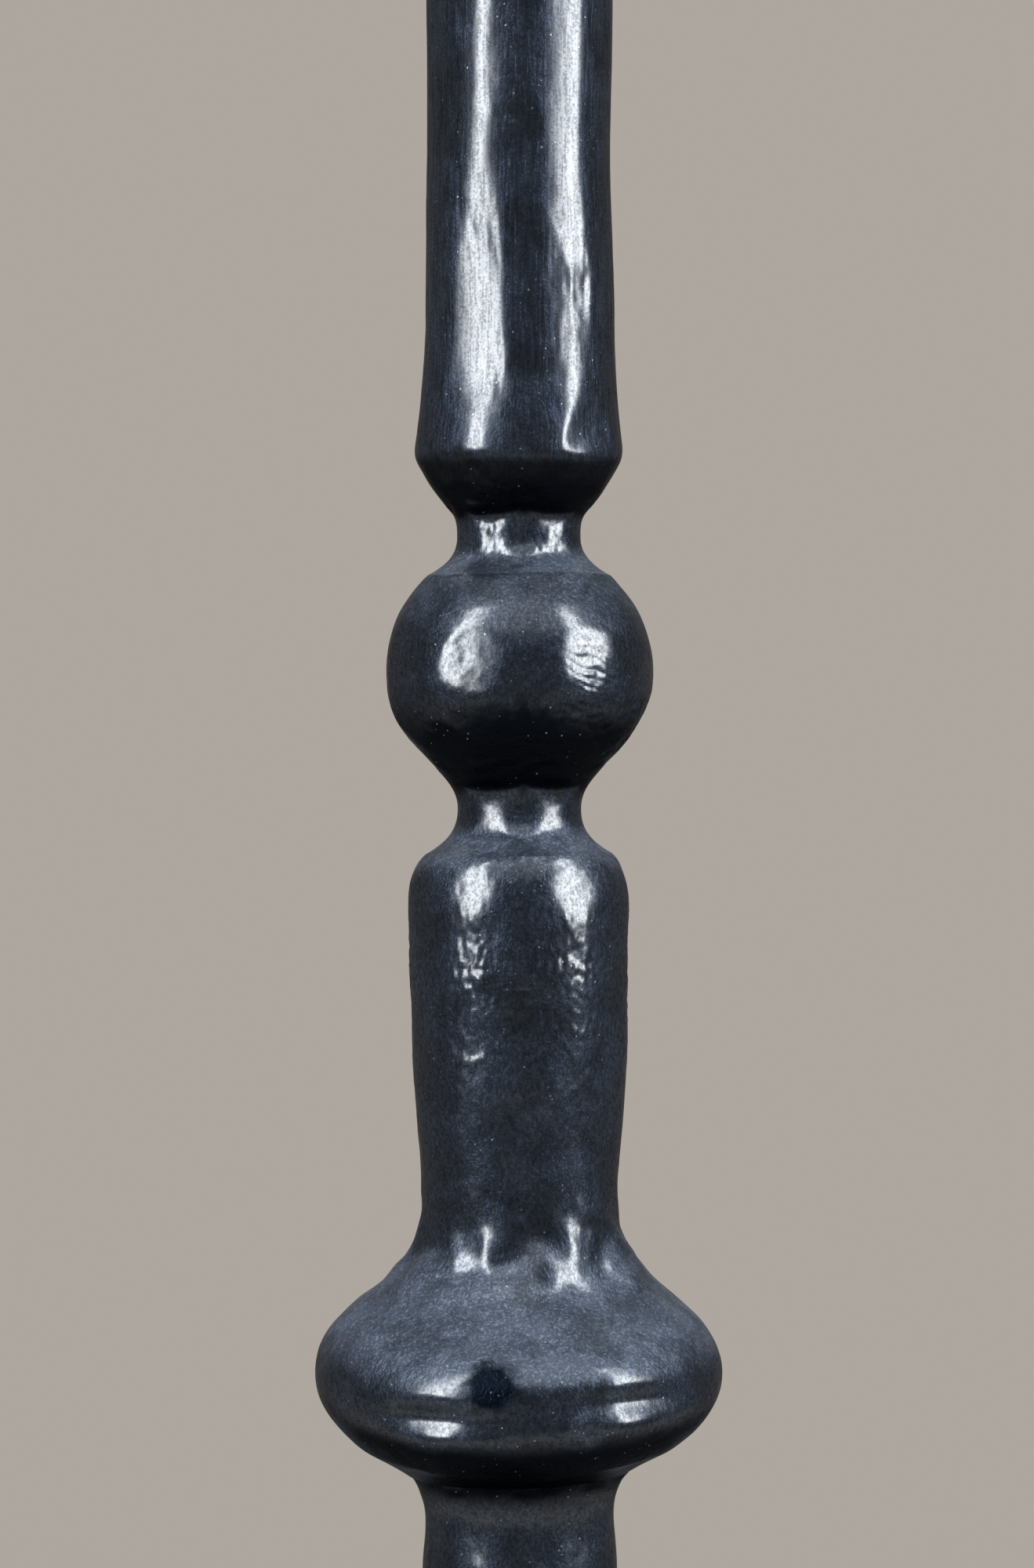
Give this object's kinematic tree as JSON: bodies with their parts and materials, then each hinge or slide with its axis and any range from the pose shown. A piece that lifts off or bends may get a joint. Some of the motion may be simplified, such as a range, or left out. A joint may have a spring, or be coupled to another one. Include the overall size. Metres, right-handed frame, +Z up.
{
  "type": "floor lamp",
  "caption": "Black forged-iron floor lamp: ogee foot, turned column with knop and ball, brass switched lampholder and tapered linen shade.",
  "frame": {"origin": "on the floor, under the middle of the round foot", "axes": "+Z up along the stem, +X towards the switch knob, +Y towards the cord outlet at the back"},
  "size_m": [0.4222, 0.4222, 1.5299],
  "materials": {
    "black_iron": "hammered, blackened and waxed",
    "bare_steel": "zinc plated",
    "aged_brass": "satin, slightly aged",
    "black_plastic": "matt moulded",
    "porcelain": "glazed ceramic",
    "linen": "plain-woven natural linen",
    "white_liner": "satin white laminate",
    "wire_white": "off-white powder coat",
    "opal_glass": "opal white",
    "nickel": "nickel plated",
    "felt": "dark green felt"
  },
  "bodies": {
    "stand": {"felt_pad": "felt", "ballast_plate": "bare_steel", "foot": "black_iron", "cord_bush": "black_plastic", "bottom_washer": "bare_steel", "bottom_nut": "bare_steel", "lower_column": "black_iron", "knop_sleeve": "black_iron", "lower_neck": "black_iron", "ball": "black_iron", "upper_neck": "black_iron", "upper_shaft": "black_iron", "head_ball": "black_iron", "holder_cup": "black_iron", "top_washer": "bare_steel", "top_nut": "bare_steel", "tie_tube": "bare_steel", "holder_cap": "aged_brass", "grub_screw": "bare_steel", "switch_block": "black_plastic", "holder_insulator": "porcelain", "screw_shell": "aged_brass", "live_terminal": "aged_brass", "neutral_terminal": "aged_brass", "centre_contact": "aged_brass", "holder_skirt": "aged_brass", "lower_shade_ring": "black_plastic"},
    "switch": {"switch_spindle": "aged_brass", "switch_knob": "black_plastic"},
    "clamp_ring": {"upper_shade_ring": "black_plastic"},
    "shade": {"shade_cover": "linen", "shade_liner": "white_liner", "bottom_wire": "wire_white", "top_wire": "wire_white", "bottom_binding": "linen", "top_binding": "linen", "spider_hub": "wire_white", "spider_arm_1": "wire_white", "spider_arm_2": "wire_white", "spider_arm_3": "wire_white"},
    "bulb": {"lamp_tip": "nickel", "lamp_insulator": "black_plastic", "lamp_cap": "nickel", "lamp_glass": "opal_glass"}
  },
  "joints": [
    {"name": "switch_turn", "type": "hinge", "parent": "stand", "child": "switch", "pos_m": [0.0208, 0, 1.2727], "axis": [1, 0, 0], "continuous": true},
    {"name": "shade_turn", "type": "hinge", "parent": "stand", "child": "shade", "pos_m": [0, 0, 1.303], "axis": [0, 0, 1], "continuous": true},
    {"name": "ring_turn", "type": "hinge", "parent": "stand", "child": "clamp_ring", "pos_m": [0, 0, 1.3078], "axis": [0, 0, 1], "continuous": true},
    {"name": "bulb_turn", "type": "hinge", "parent": "stand", "child": "bulb", "pos_m": [0, 0, 1.3068], "axis": [0, 0, 1], "range_deg": [0, 1260]}
  ]
}
